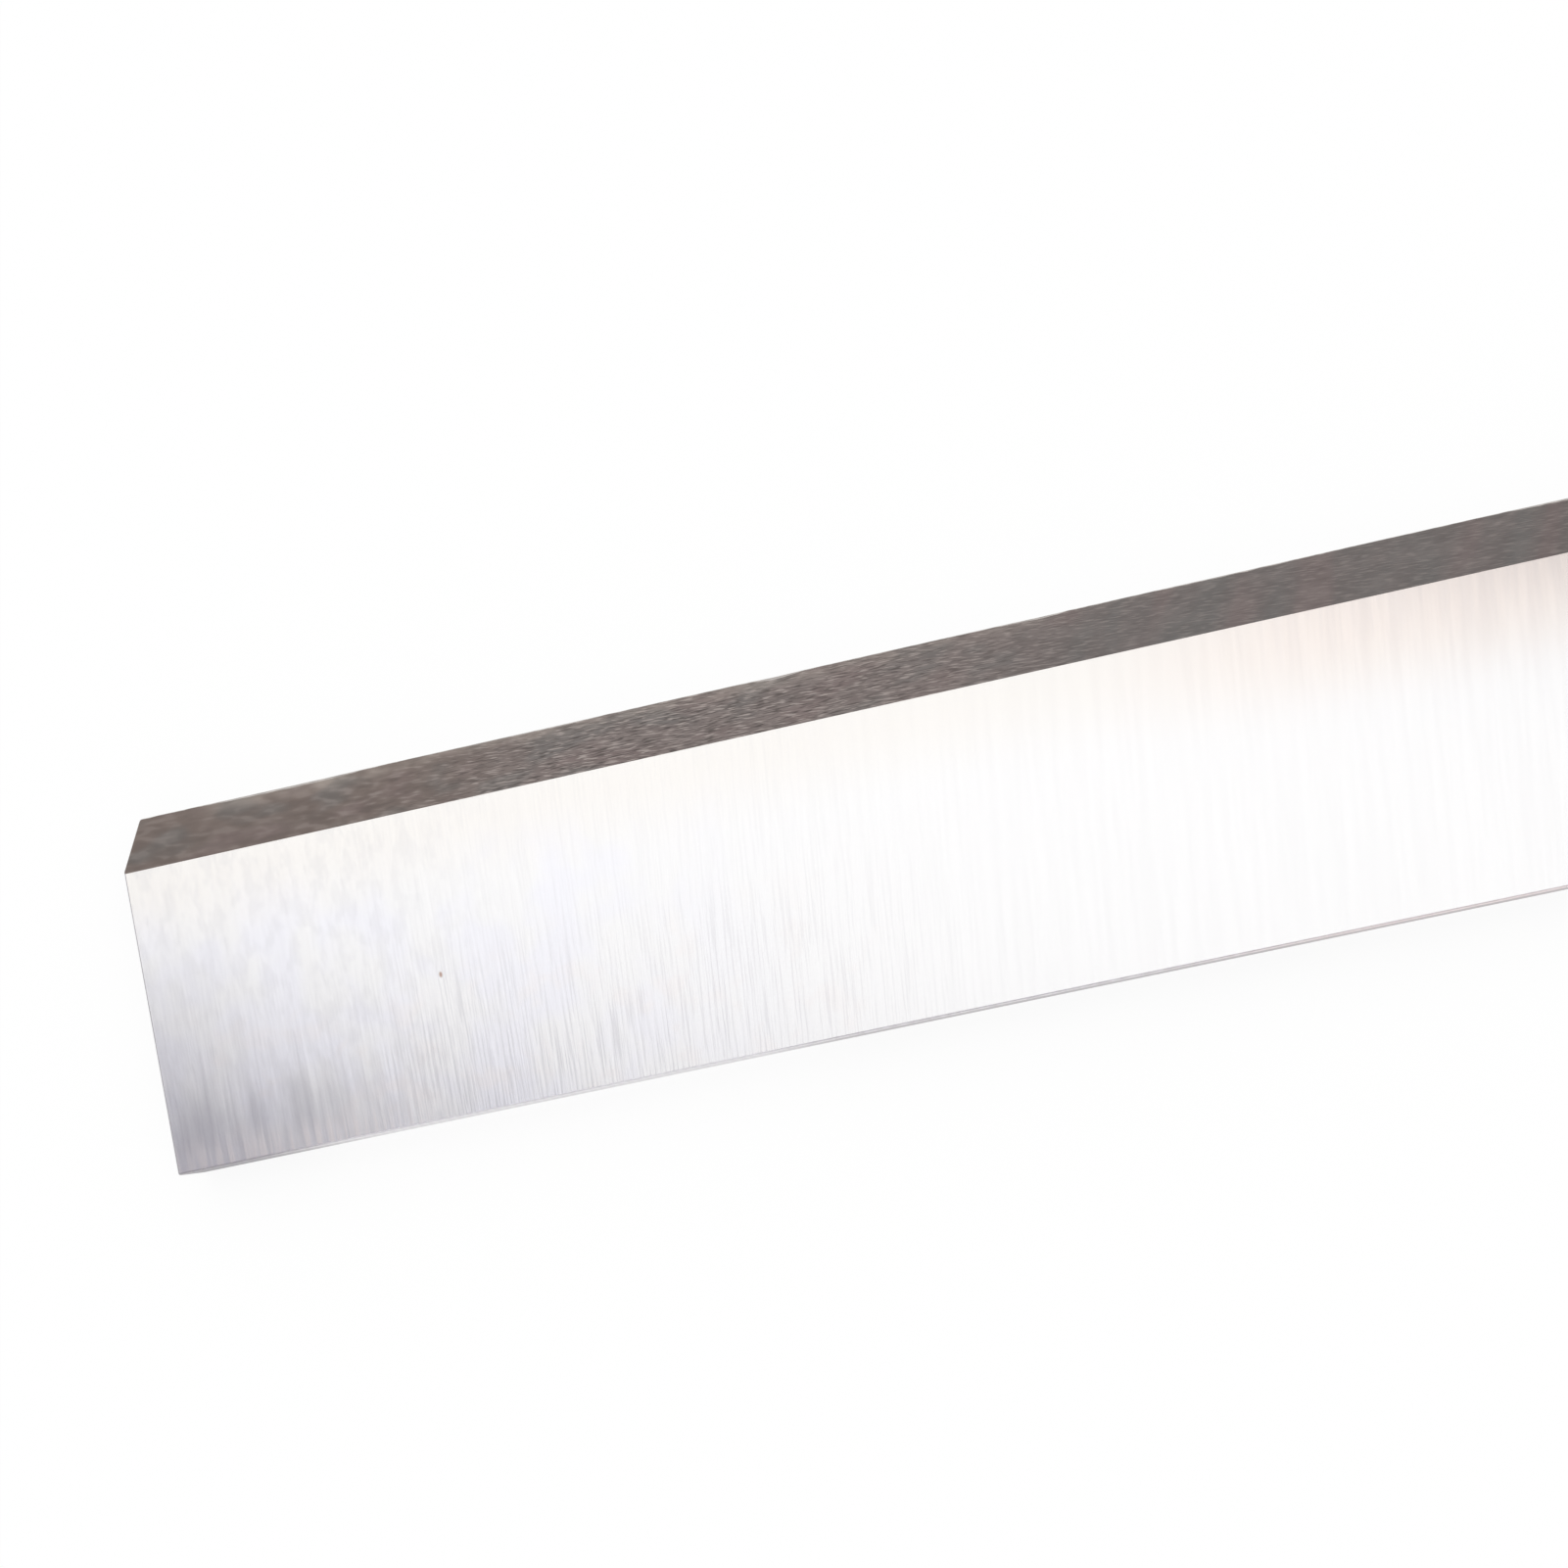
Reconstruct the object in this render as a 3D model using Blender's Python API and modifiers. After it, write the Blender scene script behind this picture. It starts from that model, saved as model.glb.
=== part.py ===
"""Planer knife: a straight high-speed-steel blade for the cutter head of a wood planer.

It is made as the real knife is. A flat bar is ground to width and thickness and its edges are
broken. The bevel is then ground along one long edge, down to a sharp cutting edge on the back face.

Metres, +Z up. The knife lies on its back face, with the bevel and the front face up. X runs along
the length, and the cutting edge is at +Y. The origin is on the back face, under the middle of the knife.
"""
import math

import bmesh
import bpy

# Driving dimensions
LENGTH = 0.2032  # 8 in
WIDTH = 0.0254  # 1 in, from the spine to the cutting edge
THICKNESS = 0.003175  # 1/8 in
BEVEL_ANGLE_DEG = 40.0  # between the bevel and the back face
EDGE_BREAK = 0.00015  # leg of the small chamfer that takes the burr off the bar's edges

# Bar left beyond the cutting edge until the bevel is ground. It holds the whole edge break, so that
# none of it is left at the cutting edge.
GRINDING_ALLOWANCE = 5 * EDGE_BREAK

# How far the grinding cut goes past the bar, on every side but the bevel's
CUT_CLEARANCE = 0.005

# Steel, as the photograph shows it
STEEL_COLOUR = (0.80, 0.79, 0.80, 1.0)
STEEL_ROUGHNESS = 0.32

KNIFE_NAME = "planer_knife"


def new_collection(name):
    """Adds an empty collection to the scene."""
    collection = bpy.data.collections.new(name)
    bpy.context.scene.collection.children.link(collection)
    return collection


def clear_scene():
    """Removes what the scene holds at the start."""
    for thing in list(bpy.data.objects):
        bpy.data.objects.remove(thing, do_unlink=True)
    for collection in list(bpy.data.collections):
        bpy.data.collections.remove(collection)


def ground_steel():
    """Bright ground high-speed steel."""
    material = bpy.data.materials.new("ground_steel")
    material.use_nodes = True
    shader = material.node_tree.nodes["Principled BSDF"]
    shader.inputs["Base Color"].default_value = STEEL_COLOUR
    shader.inputs["Roughness"].default_value = STEEL_ROUGHNESS
    shader.inputs["Metallic"].default_value = 1.0
    return material


def block(name, size, centre, collection):
    """A box of the given size, with its scale already in the mesh."""
    mesh = bpy.data.meshes.new(name)
    form = bmesh.new()
    bmesh.ops.create_cube(form, size=1.0)
    bmesh.ops.scale(form, vec=size, verts=form.verts)
    bmesh.ops.translate(form, vec=centre, verts=form.verts)
    form.to_mesh(mesh)
    form.free()
    thing = bpy.data.objects.new(name, mesh)
    collection.objects.link(thing)
    return thing


def bar(collection):
    """The flat bar that the knife is ground from, with all its edges broken."""
    bar_width = WIDTH + GRINDING_ALLOWANCE
    centre = (0.0, GRINDING_ALLOWANCE / 2, THICKNESS / 2)
    knife = block(KNIFE_NAME, (LENGTH, bar_width, THICKNESS), centre, collection)
    edges = knife.modifiers.new("edge_break", "BEVEL")
    edges.width = EDGE_BREAK
    edges.segments = 1
    edges.limit_method = "ANGLE"
    return knife


def bevel_cutter(collection):
    """What the grinding wheel removes: everything past the bevel's plane.

    The cutter's underside is the bevel's plane. The cutter turns about the cutting edge, which is
    its own origin, so the bevel always runs down to that edge whatever its angle.
    """
    bevel_angle = math.radians(BEVEL_ANGLE_DEG)
    slope_length = THICKNESS / math.sin(bevel_angle)
    reach = slope_length + GRINDING_ALLOWANCE + CUT_CLEARANCE
    size = (LENGTH + 2 * CUT_CLEARANCE, 2 * reach, reach)
    cutter = block("bevel_cutter", size, (0.0, 0.0, reach / 2), collection)
    cutter.location = (0.0, WIDTH / 2, 0.0)
    cutter.rotation_euler = (-bevel_angle, 0.0, 0.0)
    cutter.hide_render = True
    cutter.display_type = "WIRE"
    return cutter


def grind_bevel(knife, cutter):
    """Grinds the bevel, which leaves the cutting edge sharp on the back face."""
    cut = knife.modifiers.new("bevel_grinding", "BOOLEAN")
    cut.operation = "DIFFERENCE"
    cut.solver = "EXACT"
    cut.object = cutter


def main():
    clear_scene()
    parts = new_collection(KNIFE_NAME)
    cutters = new_collection("cutters")
    knife = bar(parts)
    knife.data.materials.append(ground_steel())
    grind_bevel(knife, bevel_cutter(cutters))


main()
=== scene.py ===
"""The looks of the planer knife: its ground surfaces, broken edges and honed cutting edge.

The knife lies on a pale floor under soft light. Metres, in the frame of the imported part: X along
the knife, +Y towards the cutting edge, +Z up. The materials count in millimetres: along from the
left end, at -X, which is the end that the camera sees, and across from the knife's middle line.
"""
import math

import bmesh
import bpy
from mathutils import Euler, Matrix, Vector, noise


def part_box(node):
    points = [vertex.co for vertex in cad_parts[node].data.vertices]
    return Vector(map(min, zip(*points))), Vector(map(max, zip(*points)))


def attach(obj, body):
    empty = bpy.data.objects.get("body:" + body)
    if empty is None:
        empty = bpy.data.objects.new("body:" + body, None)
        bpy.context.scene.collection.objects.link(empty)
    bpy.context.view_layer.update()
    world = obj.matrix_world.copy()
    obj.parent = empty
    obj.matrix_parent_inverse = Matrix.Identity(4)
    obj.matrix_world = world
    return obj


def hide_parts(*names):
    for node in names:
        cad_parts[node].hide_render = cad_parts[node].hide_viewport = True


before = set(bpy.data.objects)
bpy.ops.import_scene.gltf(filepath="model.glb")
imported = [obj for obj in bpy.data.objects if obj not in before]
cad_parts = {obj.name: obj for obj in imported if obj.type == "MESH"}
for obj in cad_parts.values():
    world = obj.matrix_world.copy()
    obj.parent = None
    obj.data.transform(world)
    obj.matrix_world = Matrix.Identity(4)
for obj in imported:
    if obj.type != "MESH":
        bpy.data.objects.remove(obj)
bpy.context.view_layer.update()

NODE = "planer_knife"
MM = 0.001
MICROMETRE = 0.000001
ALONG = (1.0, 0.0, 0.0)
ACROSS = (0.0, 1.0, 0.0)
UP = (0.0, 0.0, 1.0)

# The knife's own box, read from the frame, and the two sizes that it doesn't show
LOW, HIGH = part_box(NODE)
THICKNESS = HIGH.z - LOW.z
BEVEL_ANGLE = math.radians(40)
EDGE_BREAK = 0.15 * MM

# The part of 0 to 1 that nearly all of a noise's values lie in
NOISE_SPAN = (0.3, 0.7)

# Stretches of the knife, in mm: from, to, and the distance over which each fades out at both ends
SHEEN_STRETCH = (18.0, 48.0, 10.0)  # the spine and the broken edges are paler here, a painted reflection
WARM_STRETCH = (102.0, 118.0, 26.0)  # the face, the spine and the edges are tinted warm
STREAK_SHADE_STRETCH = (110.0, 118.0, 28.0)  # painted shade: the face is darker in streaks along the bevel


class Nodes:
    """Builds one material's nodes. Plain numbers set a socket, and other sockets are linked."""

    def __init__(self, name):
        self.material = bpy.data.materials.new(name)
        self.material.use_nodes = True
        self.tree = self.material.node_tree
        self.shader = self.tree.nodes["Principled BSDF"]

    def feed(self, socket, value):
        if isinstance(value, bpy.types.NodeSocket):
            self.tree.links.new(value, socket)
        else:
            socket.default_value = value

    def add(self, kind, inputs=(), **settings):
        node = self.tree.nodes.new(kind)
        for name, value in settings.items():
            setattr(node, name, value)
        for key, value in dict(inputs).items():
            self.feed(node.inputs[key], value)
        return node

    def math(self, operation, a, b=0.0):
        return self.add("ShaderNodeMath", {0: a, 1: b}, operation=operation).outputs[0]

    def product(self, first, *others):
        for value in others:
            first = self.math("MULTIPLY", first, value)
        return first

    def total(self, first, *others):
        for value in others:
            first = self.math("ADD", first, value)
        return first

    def ramp(self, value, low, high, to_low=0.0, to_high=1.0, kind="SMOOTHSTEP"):
        """The value, moved from low..high to to_low..to_high and kept within them."""
        inputs = {"Value": value, "From Min": low, "From Max": high, "To Min": to_low, "To Max": to_high}
        return self.add("ShaderNodeMapRange", inputs, interpolation_type=kind).outputs["Result"]

    def between(self, factor, a, b):
        """A number between a and b."""
        return self.ramp(factor, 0.0, 1.0, a, b, kind="LINEAR")

    def blend(self, factor, a, b):
        """A colour between a and b."""
        node = self.add("ShaderNodeMix", data_type="RGBA")
        self.feed(node.inputs[0], factor)
        for socket, colour in ((node.inputs[6], a), (node.inputs[7], b)):
            self.feed(socket, colour if isinstance(colour, bpy.types.NodeSocket) else (*colour, 1.0))
        return node.outputs[2]

    def window(self, value, low, high, soft):
        """1 between low and high, falling to 0 over the soft distance outside them."""
        rise = self.ramp(value, low - soft, low)
        return self.product(rise, self.ramp(value, high, high + soft, 1.0, 0.0))

    def noise(self, x, y, z, detail=2.0):
        """Noise from 0 to 1 at a point given by three sockets or numbers."""
        point = self.add("ShaderNodeCombineXYZ", {"X": x, "Y": y, "Z": z}).outputs[0]
        inputs = {"Vector": point, "Scale": 1.0, "Detail": detail, "Roughness": 0.6}
        return self.add("ShaderNodeTexNoise", inputs).outputs["Fac"]

    def pattern(self, x, y, per_x, per_y, seed, detail=2.0):
        """Noise over two places in millimetres, with so many cells to the millimetre each way."""
        return self.noise(self.product(x, per_x), self.product(y, per_y), seed, detail)

    def place(self):
        """Sockets for the place on the knife in millimetres: along from the left end, across and up."""
        point = self.add("ShaderNodeTexCoord").outputs["Object"]
        inputs = {0: point, 1: (1 / MM,) * 3}
        scaled = self.add("ShaderNodeVectorMath", inputs, operation="MULTIPLY").outputs[0]
        parts = self.add("ShaderNodeSeparateXYZ", {0: scaled})
        along = self.math("SUBTRACT", parts.outputs[0], LOW.x / MM)
        return along, parts.outputs[1], parts.outputs[2]

    def metal(self, colour, roughness, relief, anisotropy=0.0, tangent=None):
        """Sets the shader as bare metal, with the given relief in micrometres."""
        self.shader.inputs["Metallic"].default_value = 1.0
        self.feed(self.shader.inputs["Base Color"], colour)
        self.feed(self.shader.inputs["Roughness"], roughness)
        inputs = {"Height": relief, "Distance": MICROMETRE, "Strength": 1.0}
        self.feed(self.shader.inputs["Normal"], self.add("ShaderNodeBump", inputs).outputs[0])
        if anisotropy:
            self.shader.inputs["Anisotropic"].default_value = anisotropy
            direction = self.add("ShaderNodeCombineXYZ", dict(enumerate(tangent))).outputs[0]
            self.feed(self.shader.inputs["Tangent"], direction)
        return self.material


# The face: pale steel, cool in patches, straw-coloured along the bevel and peach at its far part
FACE_PALE = (0.955, 0.950, 0.951)
FACE_COOL = (0.934, 0.931, 0.972)
FACE_STRAW = (0.950, 0.925, 0.895)
FACE_PEACH = (0.960, 0.885, 0.838)
FACE_ROSE = (0.955, 0.915, 0.905)
# A dull grey for the grinding lines, the mottle and the smoky fingers, and also painted shade at the left
# end
FACE_DULL_AND_SHADE = (0.66, 0.65, 0.68)
# Painted shade in streaks along the bevel at the far part, for the darker room that the face mirrors there
FACE_STREAK_SHADE = (0.82, 0.765, 0.75)
SPECK_PLACE = (24.97, -2.70)  # mm, along and across
SPECK_SLENDER = 1.45  # how much taller than wide the speck is
SPECK_COLOUR = (0.50, 0.36, 0.30)
FACE_ROUGHNESS = (0.225, 0.255)
FACE_ANISOTROPY = 0.6

# How far the face's grinding lines lean over, and how deep they are, in micrometres
FACE_LEAN = math.radians(6)
FINE_DEPTH = 9.0
MEDIUM_DEPTH = 7.0
WIDE_DEPTH = 9.0

# The face's patterns: cells to the millimetre along the knife and across it, and a seed
FINE_LINES = (4.5, 0.16, 1.0)
MEDIUM_LINES = (1.5, 0.07, 7.0)
WIDE_LINES = (0.5, 0.05, 19.0)
COOL_PATCHES = (0.15, 0.14, 3.0)
ROSE_PATCHES = (0.30, 0.35, 41.0)
SOFT_MOTTLE = (0.9, 0.40, 47.0)
SHADE_STREAKS = (0.8, 0.10, 53.0)
SMOKE_FINGERS = (0.50, 0.04, 31.0)
FINGER_REACH = 5.0  # mm


def face_tints(n, along, across, line):
    """Cool patches in the left half of what the camera sees, faint rose ones, and straw to peach tints."""
    cool = n.ramp(n.pattern(along, across, *COOL_PATCHES), 0.60, 0.40)
    cool = n.product(cool, n.ramp(along, 34.0, 58.0, 1.0, 0.0))
    colour = n.blend(cool, FACE_PALE, FACE_COOL)
    colour = n.blend(n.ramp(across, 2.0, 8.0), colour, FACE_STRAW)
    peach = n.product(n.ramp(across, 0.5, 8.0), n.window(along, *WARM_STRETCH))
    colour = n.blend(peach, colour, FACE_PEACH)
    rose = n.product(n.ramp(n.pattern(line, across, *ROSE_PATCHES), 0.50, 0.70), n.ramp(across, 2.0, -8.0))
    return n.blend(n.product(rose, n.ramp(along, 52.0, 66.0, 0.5, 0.0)), colour, FACE_ROSE)


def face_lines(n, colour, along, across, fine, medium, crisp):
    """Dulls the grinding lines, most of all towards the spine in the first third."""
    thin = n.product(n.ramp(fine, 0.52, 0.36, 0.0, 0.44), crisp)
    thick = n.product(n.ramp(medium, 0.54, 0.34), n.ramp(along, 14.0, 27.0, 0.15, 0.12))
    low = n.product(n.ramp(across, 3.0, -10.0, 0.15, 1.0), n.ramp(along, 46.0, 72.0, 1.0, 0.05))
    return n.blend(n.product(n.total(thin, thick), low), colour, FACE_DULL_AND_SHADE)


def face_stains(n, colour, along, across, line, medium):
    """The dull places and the painted shade: a mottle at the left, painted shade at the left end and in
    streaks along the bevel, and smoke along the spine.
    """
    mottle = n.ramp(n.pattern(line, across, *SOFT_MOTTLE), 0.56, 0.38, 0.0, 0.18)
    colour = n.blend(n.product(mottle, n.ramp(along, 18.0, 36.0, 1.0, 0.0)), colour, FACE_DULL_AND_SHADE)
    # Painted shade: darker at the left end, most towards the spine, for the darker room that the face
    # mirrors there
    left_end_shade = n.product(n.ramp(along, 11.0, 3.0, 0.0, 0.25), n.ramp(across, 5.0, -1.0))
    colour = n.blend(left_end_shade, colour, FACE_DULL_AND_SHADE)
    # Painted shade in streaks along the bevel at the far part
    streaks = n.ramp(n.pattern(line, across, *SHADE_STREAKS), 0.60, 0.38, 0.0, 0.31)
    streak_shade = n.product(n.ramp(across, 0.0, 8.0), n.window(along, *STREAK_SHADE_STRETCH))
    colour = n.blend(n.product(streaks, streak_shade), colour, FACE_STREAK_SHADE)
    # Smoky fingers that reach in from the spine near the left end, with paler gaps between them
    fingers = n.pattern(line, across, *SMOKE_FINGERS, detail=1.0)
    tips = n.ramp(n.math("SUBTRACT", across, n.product(fingers, FINGER_REACH)), -8.8, -12.2)
    smoke = n.product(tips, n.ramp(fingers, 0.40, 0.58, 0.30, 1.0), n.ramp(across, -12.2, -11.0, 0.3, 1.0))
    colour = n.blend(n.product(smoke, n.ramp(along, 8.0, 22.0, 0.72, 0.0)), colour, FACE_DULL_AND_SHADE)
    # A rosy rim between the fingers and the spine
    rim = n.product(n.ramp(across, -9.8, -12.2), n.ramp(along, 26.0, 14.0))
    return n.blend(n.product(rim, n.ramp(medium, 0.44, 0.60, 0.3, 1.0)), colour, FACE_ROSE)


def rust_speck(n, colour, along, across):
    """One small speck of rust."""
    off_x = n.product(n.math("SUBTRACT", along, SPECK_PLACE[0]), SPECK_SLENDER)
    off_y = n.math("SUBTRACT", across, SPECK_PLACE[1])
    away = n.math("SQRT", n.total(n.product(off_x, off_x), n.product(off_y, off_y)))
    return n.blend(n.ramp(away, 0.10, 0.28, 0.95, 0.0), colour, SPECK_COLOUR)


def ground_face():
    """The front and back face: bright, with fine grinding lines across the knife.

    The lines are square to the knife at its left end, where they are soft, and lean over further along.
    """
    n = Nodes("ground_face")
    along, across, _ = n.place()
    lean = n.ramp(along, 16.0, 58.0, 0.0, math.tan(FACE_LEAN))
    line = n.math("SUBTRACT", along, n.product(lean, across))
    fine = n.pattern(line, across, *FINE_LINES)
    medium = n.pattern(line, across, *MEDIUM_LINES)
    wide = n.pattern(line, across, *WIDE_LINES)
    crisp = n.ramp(along, 14.0, 27.0, 0.3, 1.0)
    colour = face_tints(n, along, across, line)
    colour = face_lines(n, colour, along, across, fine, medium, crisp)
    colour = face_stains(n, colour, along, across, line, medium)
    colour = rust_speck(n, colour, along, across)
    fine_relief = n.product(fine, crisp, FINE_DEPTH)
    relief = n.total(fine_relief, n.product(medium, MEDIUM_DEPTH), n.product(wide, WIDE_DEPTH))
    relief = n.product(relief, n.ramp(along, 48.0, 66.0, 1.0, 0.55))
    roughness = n.ramp(medium, *NOISE_SPAN, *FACE_ROUGHNESS)
    return n.metal(colour, roughness, relief, FACE_ANISOTROPY, ALONG)


# The bevel: its colour near the left end, at mid-length and beyond, and its scratches
# The dark base colours are partly the rougher ground steel and partly painted shade, for the darker room
# that the bevel mirrors
BEVEL_BROWN = (0.200, 0.160, 0.142)
BEVEL_ROSY = (0.228, 0.192, 0.182)
BEVEL_GREY = (0.187, 0.167, 0.161)
BEVEL_COOL = (0.178, 0.178, 0.172)
BEVEL_PLUM = (0.240, 0.182, 0.176)
BEVEL_PALE = (0.52, 0.46, 0.41)
SCRATCH_LIGHT = (0.44, 0.385, 0.36)
SCRATCH_DARK = (0.095, 0.080, 0.075)
SCRATCH_DEPTH = 3.0  # micrometres
BEVEL_ROUGHNESS = (0.40, 0.48)
COARSE_ANISOTROPY = 0.4

# How far the light and the dark scratches turn away from the cutting edge, to opposite sides
LIGHT_TILT = math.radians(6)
DARK_TILT = math.radians(1)

# The bevel's patterns: cells to the millimetre along the knife and up the bevel, and a seed
LIGHT_SCRATCHES = (0.75, 7.0, 5.0)
DARK_SCRATCHES = (0.75, 7.5, 11.0)
SOFT_SCRATCHES = (0.55, 1.7, 61.0)
BLOTCHES = (0.35, 0.7, 23.0)
TINT_PATCHES = (0.16, 0.35, 29.0)
TINT_BANDS = (0.25, 0.06, 37.0)


def bevel_tones(n, along, slope, blotches):
    """Broad tones: brown at the left end, rosier at mid-length, greyer beyond, all of it blotchy."""
    patches = n.pattern(along, slope, *TINT_PATCHES, detail=1.0)
    bands = n.pattern(along, slope, *TINT_BANDS, detail=1.0)
    tints = n.between(n.ramp(along, 70.0, 84.0), patches, bands)
    colour = n.blend(n.ramp(along, 22.0, 40.0), BEVEL_BROWN, BEVEL_ROSY)
    colour = n.blend(n.ramp(along, 68.0, 86.0), colour, BEVEL_GREY)
    colour = n.blend(n.ramp(tints, 0.50, 0.34, 0.0, 0.5), colour, BEVEL_COOL)
    colour = n.blend(n.ramp(tints, 0.50, 0.66, 0.0, 0.45), colour, BEVEL_PLUM)
    colour = n.blend(n.ramp(blotches, 0.45, 0.66, 0.0, 0.12), colour, SCRATCH_LIGHT)
    colour = n.blend(n.ramp(blotches, 0.55, 0.34, 0.0, 0.16), colour, SCRATCH_DARK)
    by_the_face = n.product(n.ramp(slope, 1.8, 3.0), n.ramp(along, 12.0, 30.0, 0.12, 0.0))
    return n.blend(by_the_face, colour, SCRATCH_DARK)


def ground_bevel():
    """The bevel: dark and rough, with short scratches along it, and paler towards the cutting edge."""
    n = Nodes("ground_bevel")
    along, _, up = n.place()
    slope = n.math("DIVIDE", up, math.sin(BEVEL_ANGLE))  # distance up the bevel from the cutting edge
    tilted = n.math("SUBTRACT", slope, n.product(along, math.tan(LIGHT_TILT)))
    counter = n.total(slope, n.product(along, math.tan(DARK_TILT)))
    blotches = n.pattern(along, tilted, *BLOTCHES, detail=1.0)
    colour = bevel_tones(n, along, slope, blotches)
    # Short scratches: thin beyond 36 mm, thick and soft before 16 mm, and fainter towards both ends
    thin = n.ramp(along, 16.0, 36.0)
    soft = n.pattern(along, tilted, *SOFT_SCRATCHES, detail=1.0)
    first = n.between(thin, soft, n.pattern(along, tilted, *LIGHT_SCRATCHES, detail=1.0))
    second = n.between(thin, soft, n.pattern(along, counter, *DARK_SCRATCHES, detail=1.0))
    clear = n.product(n.ramp(along, 12.0, 38.0, 0.17, 0.94), n.ramp(along, 56.0, 88.0, 1.0, 0.28))
    colour = n.blend(n.product(n.ramp(first, 0.50, 0.68), clear, 0.90), colour, SCRATCH_LIGHT)
    colour = n.blend(n.product(n.ramp(second, 0.50, 0.34), clear, 0.85), colour, SCRATCH_DARK)
    # Paler towards the cutting edge, most of all about 17 mm from the left end
    pale_band = n.product(n.ramp(along, 2.0, 16.0, 0.02, 0.40), n.ramp(along, 17.0, 23.0, 1.0, 0.5))
    pale_band = n.product(pale_band, n.ramp(along, 48.0, 98.0, 1.0, 0.1), n.ramp(blotches, 0.36, 0.62, 0.5, 1.3))
    colour = n.blend(n.product(pale_band, n.ramp(slope, 0.3, 1.5, 1.0, 0.0)), colour, BEVEL_PALE)
    relief = n.product(n.total(first, second), SCRATCH_DEPTH)
    roughness = n.ramp(blotches, *NOISE_SPAN, *BEVEL_ROUGHNESS)
    return n.metal(colour, roughness, relief, COARSE_ANISOTROPY, ACROSS)


# The smaller surfaces: a darker and a lighter colour, and marks as cells to the millimetre and a seed
LAND_COLOURS = ((0.40, 0.37, 0.35), (0.60, 0.56, 0.53))
LAND_MARKS = (0.9, 12.0, 2.0)
LAND_DEPTH = 1.5  # micrometres
LAND_ROUGHNESS = (0.28, 0.36)
SPINE_COLOURS = ((0.36, 0.34, 0.35), (0.54, 0.52, 0.53))
# Painted reflection: the spine's paler colour along the sheen stretch
SPINE_SHEEN = (0.72, 0.71, 0.72)
SPINE_WARM = (0.48, 0.40, 0.39)
SPINE_DARK = (0.22, 0.21, 0.23)
SPINE_MARKS = (0.25, 8.0, 4.0)
SPINE_DEPTH = 3.0  # micrometres
SPINE_ROUGHNESS = (0.34, 0.44)
END_COLOURS = ((0.40, 0.39, 0.39), (0.58, 0.57, 0.56))
END_MARKS = (5.0, 0.5, 6.0)
END_DEPTH = 4.0  # micrometres
END_ROUGHNESS = (0.36, 0.46)
EDGE_COLOURS = ((0.80, 0.77, 0.78), (0.95, 0.93, 0.94))
# Painted reflection: the broken edges' paler colour along the sheen stretch
EDGE_SHEEN = (0.97, 0.96, 0.97)
EDGE_WARM = (0.92, 0.82, 0.81)
EDGE_DARK = (0.50, 0.48, 0.50)
EDGE_MARKS = (1.1, 1.1, 6.0)  # cells to the millimetre along, across and up
EDGE_DEPTH = 3.0  # micrometres
EDGE_ROUGHNESS = (0.55, 0.75)  # elsewhere and along the stretch of painted reflection
# Where the spine and the edges begin to darken, and where they are dark, in mm from the left end
DARK_STRETCH = (14.0, 5.0)


def honed_land():
    """The narrow land on the cutting edge, a little brighter than the bevel."""
    n = Nodes("honed_land")
    along, _, up = n.place()
    marks = n.pattern(along, up, *LAND_MARKS)
    colour = n.blend(n.ramp(marks, 0.35, 0.65), *LAND_COLOURS)
    roughness = n.ramp(marks, *NOISE_SPAN, *LAND_ROUGHNESS)
    return n.metal(colour, roughness, n.product(marks, LAND_DEPTH))


def ground_spine():
    """The spine: ground along its length, with a paler stretch of painted reflection, a warm one and a dark
    left end.
    """
    n = Nodes("ground_spine")
    along, _, up = n.place()
    marks = n.pattern(along, up, *SPINE_MARKS)
    colour = n.blend(n.ramp(marks, *NOISE_SPAN), *SPINE_COLOURS)
    colour = n.blend(n.product(n.window(along, *WARM_STRETCH), 0.35), colour, SPINE_WARM)
    # Painted reflection: paler along the sheen stretch
    colour = n.blend(n.window(along, *SHEEN_STRETCH), colour, SPINE_SHEEN)
    colour = n.blend(n.ramp(along, *DARK_STRETCH, 0.0, 0.9), colour, SPINE_DARK)
    roughness = n.ramp(marks, *NOISE_SPAN, *SPINE_ROUGHNESS)
    return n.metal(colour, roughness, n.product(marks, SPINE_DEPTH), COARSE_ANISOTROPY, UP)


def cut_end():
    """The two ends: ground through the thickness, a little coarser."""
    n = Nodes("cut_end")
    _, across, up = n.place()
    marks = n.pattern(across, up, *END_MARKS)
    colour = n.blend(n.ramp(marks, *NOISE_SPAN), *END_COLOURS)
    roughness = n.ramp(marks, *NOISE_SPAN, *END_ROUGHNESS)
    return n.metal(colour, roughness, n.product(marks, END_DEPTH), COARSE_ANISOTROPY, ACROSS)


def broken_edge():
    """The broken edges: dull where the stone took off the burr, and bright along a stretch of painted
    reflection.
    """
    n = Nodes("broken_edge")
    along, across, up = n.place()
    marks = n.noise(*(n.product(place, cells) for place, cells in zip((along, across, up), EDGE_MARKS)))
    sheen = n.window(along, *SHEEN_STRETCH)
    colour = n.blend(n.ramp(marks, *NOISE_SPAN), *EDGE_COLOURS)
    colour = n.blend(n.product(n.window(along, *WARM_STRETCH), 0.7), colour, EDGE_WARM)
    # Painted reflection: brighter along the sheen stretch
    colour = n.blend(sheen, colour, EDGE_SHEEN)
    colour = n.blend(n.ramp(along, *DARK_STRETCH, 0.0, 0.8), colour, EDGE_DARK)
    roughness = n.ramp(sheen, 0.0, 1.0, *EDGE_ROUGHNESS)
    return n.metal(colour, roughness, n.product(marks, EDGE_DEPTH))


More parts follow.
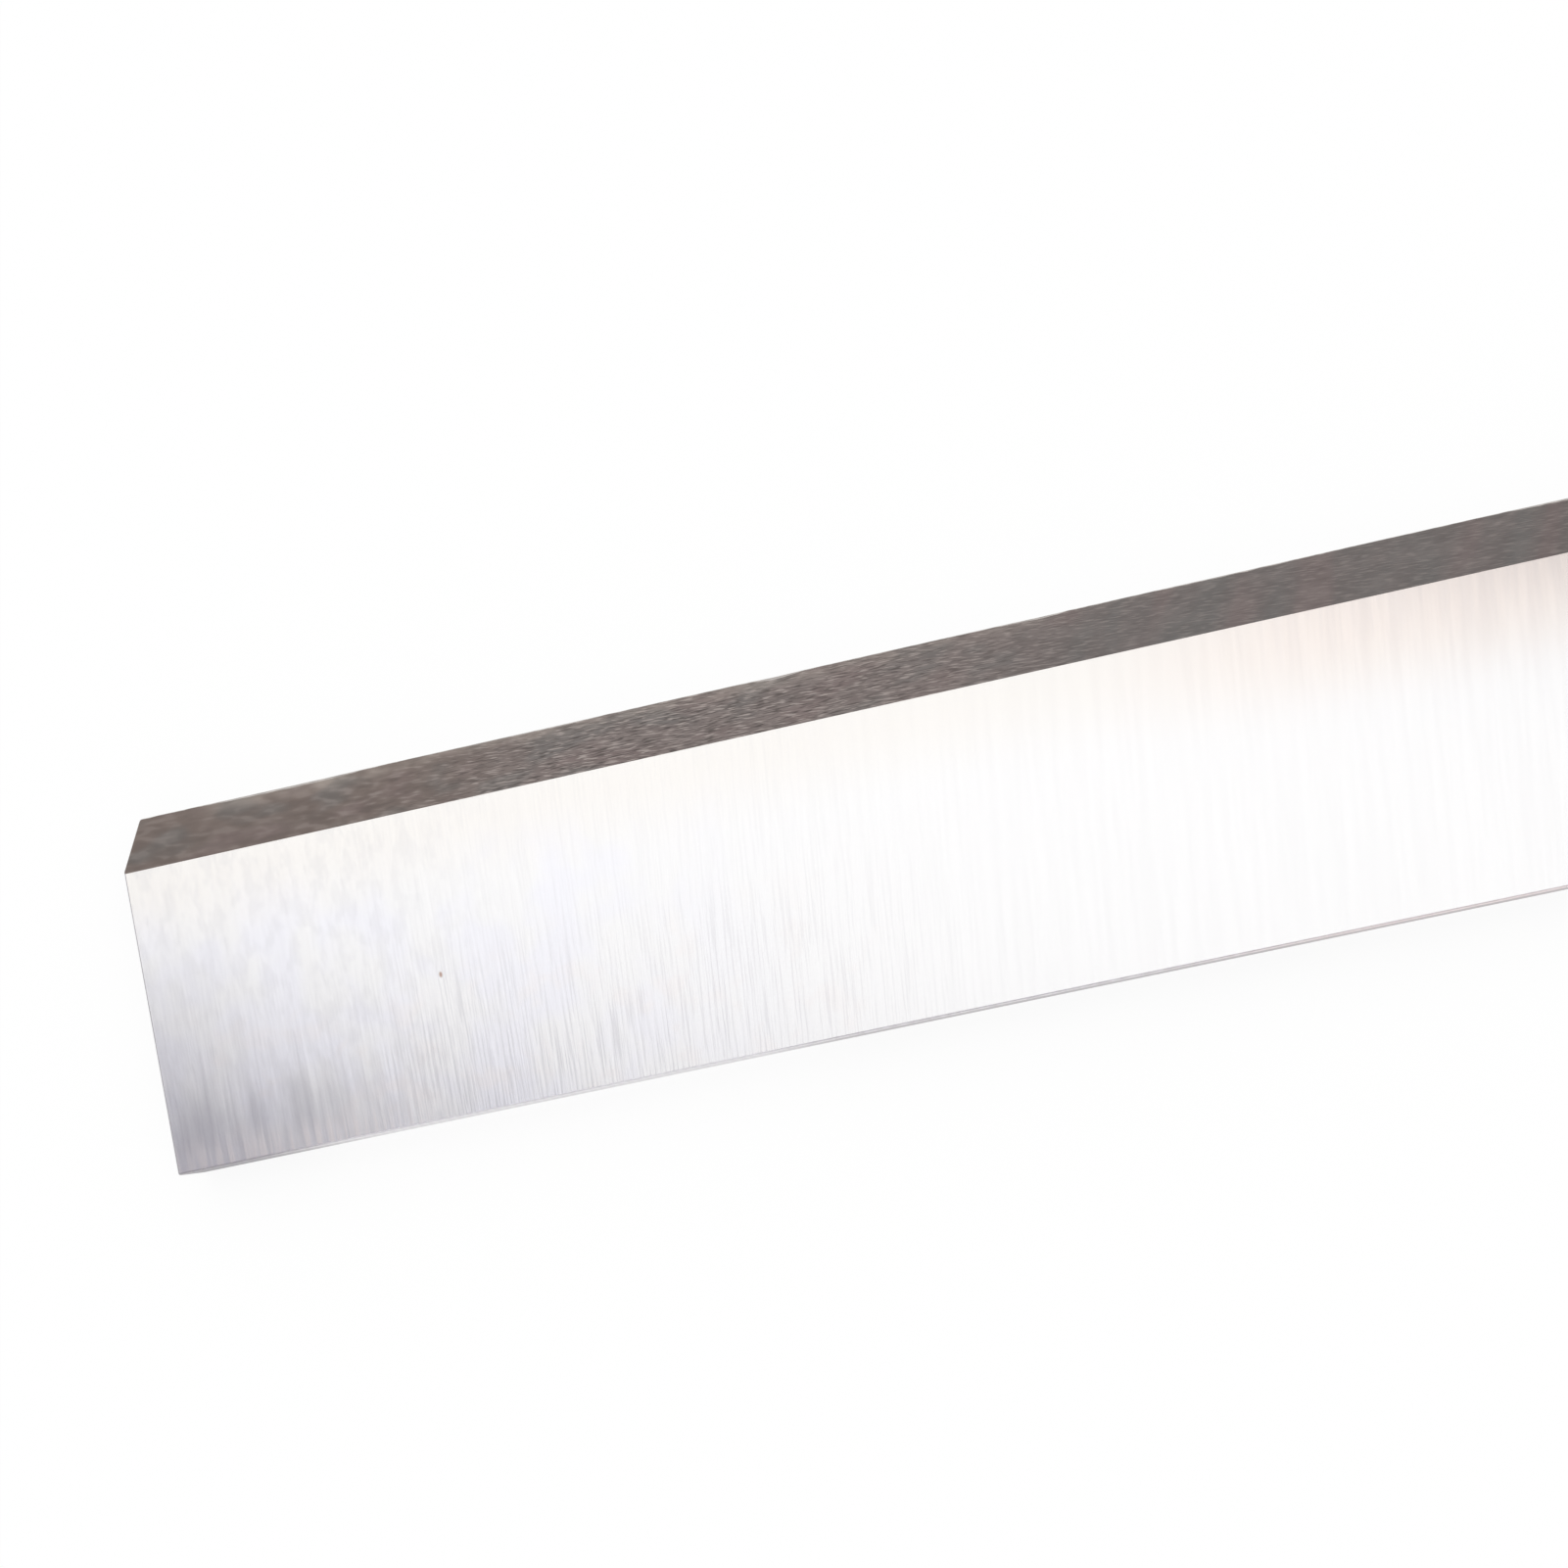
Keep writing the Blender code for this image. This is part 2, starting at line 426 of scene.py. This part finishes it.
# Where the land on the cutting edge is wide: place along the knife, half its length, and width, in mm
WORN_STRETCHES = (
    (13.0, 8.0, 0.22),
    (36.0, 5.0, 0.14),
    (54.6, 2.2, 0.26),
    (75.5, 3.2, 0.16),
    (92.0, 9.0, 0.10),
    (118.0, 5.0, 0.18),
    (139.0, 7.0, 0.12),
    (163.0, 3.0, 0.24),
    (186.0, 8.0, 0.16),
)
WORN_FULLNESS = 0.7
LAND_USUAL = 0.05  # mm
LAND_LEAST = 0.02  # mm
LAND_RIPPLE = 0.06  # mm
RIPPLES = ((0.9, 3.7, 1.0), (2.7, 9.1, 0.5))  # waves to the millimetre, row of the noise, and strength
LAND_ANGLE = math.radians(46)
STATION_STEP = 0.25 * MM
ARC_STEPS = 3
LEAST_STEP = 0.001 * MM
MERGE_DISTANCE = 0.0001 * MM

FACE, BEVEL, LAND, SPINE, END, EDGE = range(6)


def land_width(x):
    """Width of the honed land at a place along the knife, in metres."""
    along = (x - LOW.x) / MM
    width = LAND_USUAL
    for middle, half, most in WORN_STRETCHES:
        away = abs(along - middle) / half
        if away < 1.0:
            width = max(width, most * (1.0 - away * away) ** WORN_FULLNESS)
    ripple = sum(strength * noise.noise((along * waves, row, 0.0)) for waves, row, strength in RIPPLES)
    return max(LAND_LEAST, width + LAND_RIPPLE * ripple) * MM


def outline(land, inset):
    """The section's outline as (y, z, surface after the point), moved in by inset except at the bevel.

    It runs from the back face's spine end round the spine, along the front face and down the bevel
    to the cutting edge.
    """
    radius = EDGE_BREAK - inset
    points = []

    def arc(centre_y, centre_z, start_deg, end_deg, surface_after):
        for step in range(ARC_STEPS + 1):
            turn = math.radians(start_deg + (end_deg - start_deg) * step / ARC_STEPS)
            surface = EDGE if step < ARC_STEPS else surface_after
            points.append((centre_y + radius * math.cos(turn), centre_z + radius * math.sin(turn), surface))

    arc(LOW.y + EDGE_BREAK, EDGE_BREAK, 270, 180, SPINE)
    arc(LOW.y + EDGE_BREAK, THICKNESS - EDGE_BREAK, 180, 90, FACE)
    top = THICKNESS - inset
    points.append((HIGH.y - top / math.tan(BEVEL_ANGLE), top, BEVEL))
    # The land starts on the bevel and drops a little more steeply
    land_top = land * math.sin(BEVEL_ANGLE)
    land_run = land * math.cos(BEVEL_ANGLE)
    land_foot = HIGH.y - land_run + land_top / math.tan(LAND_ANGLE)
    if inset < land_top:
        points.append((HIGH.y - land_run, land_top, LAND))
        points.append((land_foot - inset / math.tan(LAND_ANGLE), inset, FACE))
    else:
        foot = HIGH.y - inset / math.tan(BEVEL_ANGLE)
        points.append((foot - LEAST_STEP / math.tan(BEVEL_ANGLE), inset + LEAST_STEP, LAND))
        points.append((foot, inset, FACE))
    return points


def stations():
    """Places along the knife as (x, inset): both ends rounded over the edge break, even steps between."""
    turns = [math.radians(90 * step / ARC_STEPS) for step in range(ARC_STEPS + 1)]
    left = [(LOW.x + EDGE_BREAK * (1 - math.cos(turn)), EDGE_BREAK * (1 - math.sin(turn))) for turn in turns]
    right = [(-x, inset) for x, inset in reversed(left)]
    start, end = left[-1][0], right[0][0]
    count = round((end - start) / STATION_STEP)
    middle = [(start + (end - start) * i / count, 0.0) for i in range(1, count)]
    return left + middle + right


def knife_mesh():
    """The knife as one closed mesh, lofted from its section along its length."""
    form = bmesh.new()
    rings = []
    places = stations()
    for x, inset in places:
        points = outline(land_width(x), inset)
        rings.append([form.verts.new((x, y, z)) for y, z, _ in points])
    surfaces = [surface for _, _, surface in outline(land_width(0.0), 0.0)]
    count = len(surfaces)
    for (place, ring), (next_place, next_ring) in zip(zip(places, rings), zip(places[1:], rings[1:])):
        at_end = place[1] > 0.0 or next_place[1] > 0.0
        for i, surface in enumerate(surfaces):
            j = (i + 1) % count
            face = form.faces.new((ring[i], ring[j], next_ring[j], next_ring[i]))
            face.material_index = EDGE if at_end and surface in (FACE, SPINE, EDGE) else surface
    for ring in (rings[0], list(reversed(rings[-1]))):
        form.faces.new(ring).material_index = END
    bmesh.ops.remove_doubles(form, verts=form.verts, dist=MERGE_DISTANCE)
    bmesh.ops.recalc_face_normals(form, faces=form.faces)
    for face in form.faces:
        face.smooth = True
    for edge in form.edges:
        if len({face.material_index for face in edge.link_faces}) > 1:
            edge.smooth = False
    mesh = bpy.data.meshes.new("planer_knife_ground")
    form.to_mesh(mesh)
    form.free()
    return mesh


def make_knife():
    mesh = knife_mesh()
    for material in (ground_face(), ground_bevel(), honed_land(), ground_spine(), cut_end(), broken_edge()):
        mesh.materials.append(material)
    knife = bpy.data.objects.new("planer_knife_ground", mesh)
    bpy.context.scene.collection.objects.link(knife)
    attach(knife, "root")
    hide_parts(NODE)


FLOOR_SIZE = 12.0
FLOOR_GAP = 0.05 * MM
FLOOR_COLOUR = (0.98, 0.98, 0.98, 1.0)
# How much of the floor's look to the camera is plain white, which softens the shadow
FLOOR_WHITE_SHARE = 0.86
LAMP_SIZE = 1.8
LAMP_PLACE = (-1.05, 0.10, 1.6)
LAMP_WATTS = 0.9


def make_floor():
    """A pale floor that the camera, and reflections, see as white. It keeps the knife's soft shadow."""
    bpy.ops.mesh.primitive_plane_add(size=FLOOR_SIZE, location=(0.0, 0.0, -FLOOR_GAP))
    floor = bpy.context.object
    floor.name = "floor"
    n = Nodes("floor")
    n.tree.nodes.remove(n.shader)
    paper = n.add("ShaderNodeBsdfDiffuse", {"Color": FLOOR_COLOUR}).outputs[0]
    white = n.add("ShaderNodeEmission", {"Strength": 1.0}).outputs[0]
    path = n.add("ShaderNodeLightPath")
    seen = n.math("MAXIMUM", path.outputs["Is Camera Ray"], path.outputs["Is Glossy Ray"])
    seen = n.math("MAXIMUM", seen, path.outputs["Is Transmission Ray"])
    share = n.product(seen, FLOOR_WHITE_SHARE)
    both = n.add("ShaderNodeMixShader", {0: share, 1: paper, 2: white}).outputs[0]
    n.feed(n.tree.nodes["Material Output"].inputs["Surface"], both)
    floor.data.materials.append(n.material)


def make_world():
    world = bpy.data.worlds.new("soft_white")
    world.use_nodes = True
    background = world.node_tree.nodes["Background"]
    background.inputs["Color"].default_value = (1.0, 1.0, 1.0, 1.0)
    background.inputs["Strength"].default_value = 1.0
    bpy.context.scene.world = world


def make_card(name, size, height, edge_point, away_deg, colour):
    """A card over the knife that only its reflections show.

    The size is its length and depth. The middle of its open edge is over edge_point, in millimetres,
    and away_deg is the direction from the card to its open side.
    """
    length, depth = size
    away = math.radians(away_deg)
    centre = Vector(edge_point) * MM - Vector((math.cos(away), math.sin(away))) * depth / 2
    place = (centre.x, centre.y, THICKNESS + height)
    bpy.ops.mesh.primitive_plane_add(size=1.0, location=place, rotation=(0.0, 0.0, away))
    card = bpy.context.object
    card.name = name
    card.scale = (depth, length, 1.0)
    n = Nodes(name)
    n.tree.nodes.remove(n.shader)
    glow = n.add("ShaderNodeEmission", {"Color": (*colour, 1.0), "Strength": 1.0}).outputs[0]
    n.feed(n.tree.nodes["Material Output"].inputs["Surface"], glow)
    card.data.materials.append(n.material)
    card.visible_camera = False
    card.visible_diffuse = False
    card.visible_shadow = False


def make_cards():
    """Cards for the face's left end, for the bevel's far part and, high up, for views from above."""
    make_card("grey_card", size=(0.36, 0.20), height=0.12,
              edge_point=(-187.0, 2.5), away_deg=71, colour=(0.280, 0.267, 0.319))
    make_card("far_card", size=(0.12, 0.10), height=0.08,
              edge_point=(-42.6, 18.8), away_deg=258, colour=(0.45, 0.405, 0.41))
    make_card("high_card", size=(0.60, 0.50), height=0.60,
              edge_point=(-110.0, 0.0), away_deg=180, colour=(0.62, 0.62, 0.63))


def make_lamp():
    """A large soft lamp, high over the knife's left end, where the front face mirrors it."""
    lamp = bpy.data.lights.new("soft_lamp", "AREA")
    lamp.shape = "SQUARE"
    lamp.size = LAMP_SIZE
    lamp.energy = LAMP_WATTS
    holder = bpy.data.objects.new("soft_lamp", lamp)
    bpy.context.scene.collection.objects.link(holder)
    holder.location = LAMP_PLACE
    holder.rotation_euler = (-holder.location).to_track_quat("-Z", "Y").to_euler()
    holder.visible_camera = False


# The camera, a long lens that looks down on the left half of the knife
CAMERA_AIM = Vector((-46.03 * MM, 5.12 * MM, THICKNESS))
CAMERA_DISTANCE = 0.9378
CAMERA_TURN_DEG = (-3.291, 32.282, -12.254)
CAMERA_REACH = 100.0
LENS_MM = 314.8
SENSOR_MM = 36.0


def make_camera():
    camera = bpy.data.cameras.new("camera")
    camera.lens = LENS_MM
    camera.sensor_width = SENSOR_MM
    camera.clip_end = CAMERA_REACH
    holder = bpy.data.objects.new("camera", camera)
    bpy.context.scene.collection.objects.link(holder)
    turn = Euler([math.radians(angle) for angle in CAMERA_TURN_DEG])
    back = turn.to_matrix() @ Vector((0.0, 0.0, 1.0))
    holder.rotation_euler = turn
    holder.location = CAMERA_AIM + back * CAMERA_DISTANCE
    bpy.context.scene.camera = holder


make_knife()
make_floor()
make_world()
make_cards()
make_lamp()
make_camera()
bpy.context.scene.view_settings.view_transform = "Standard"
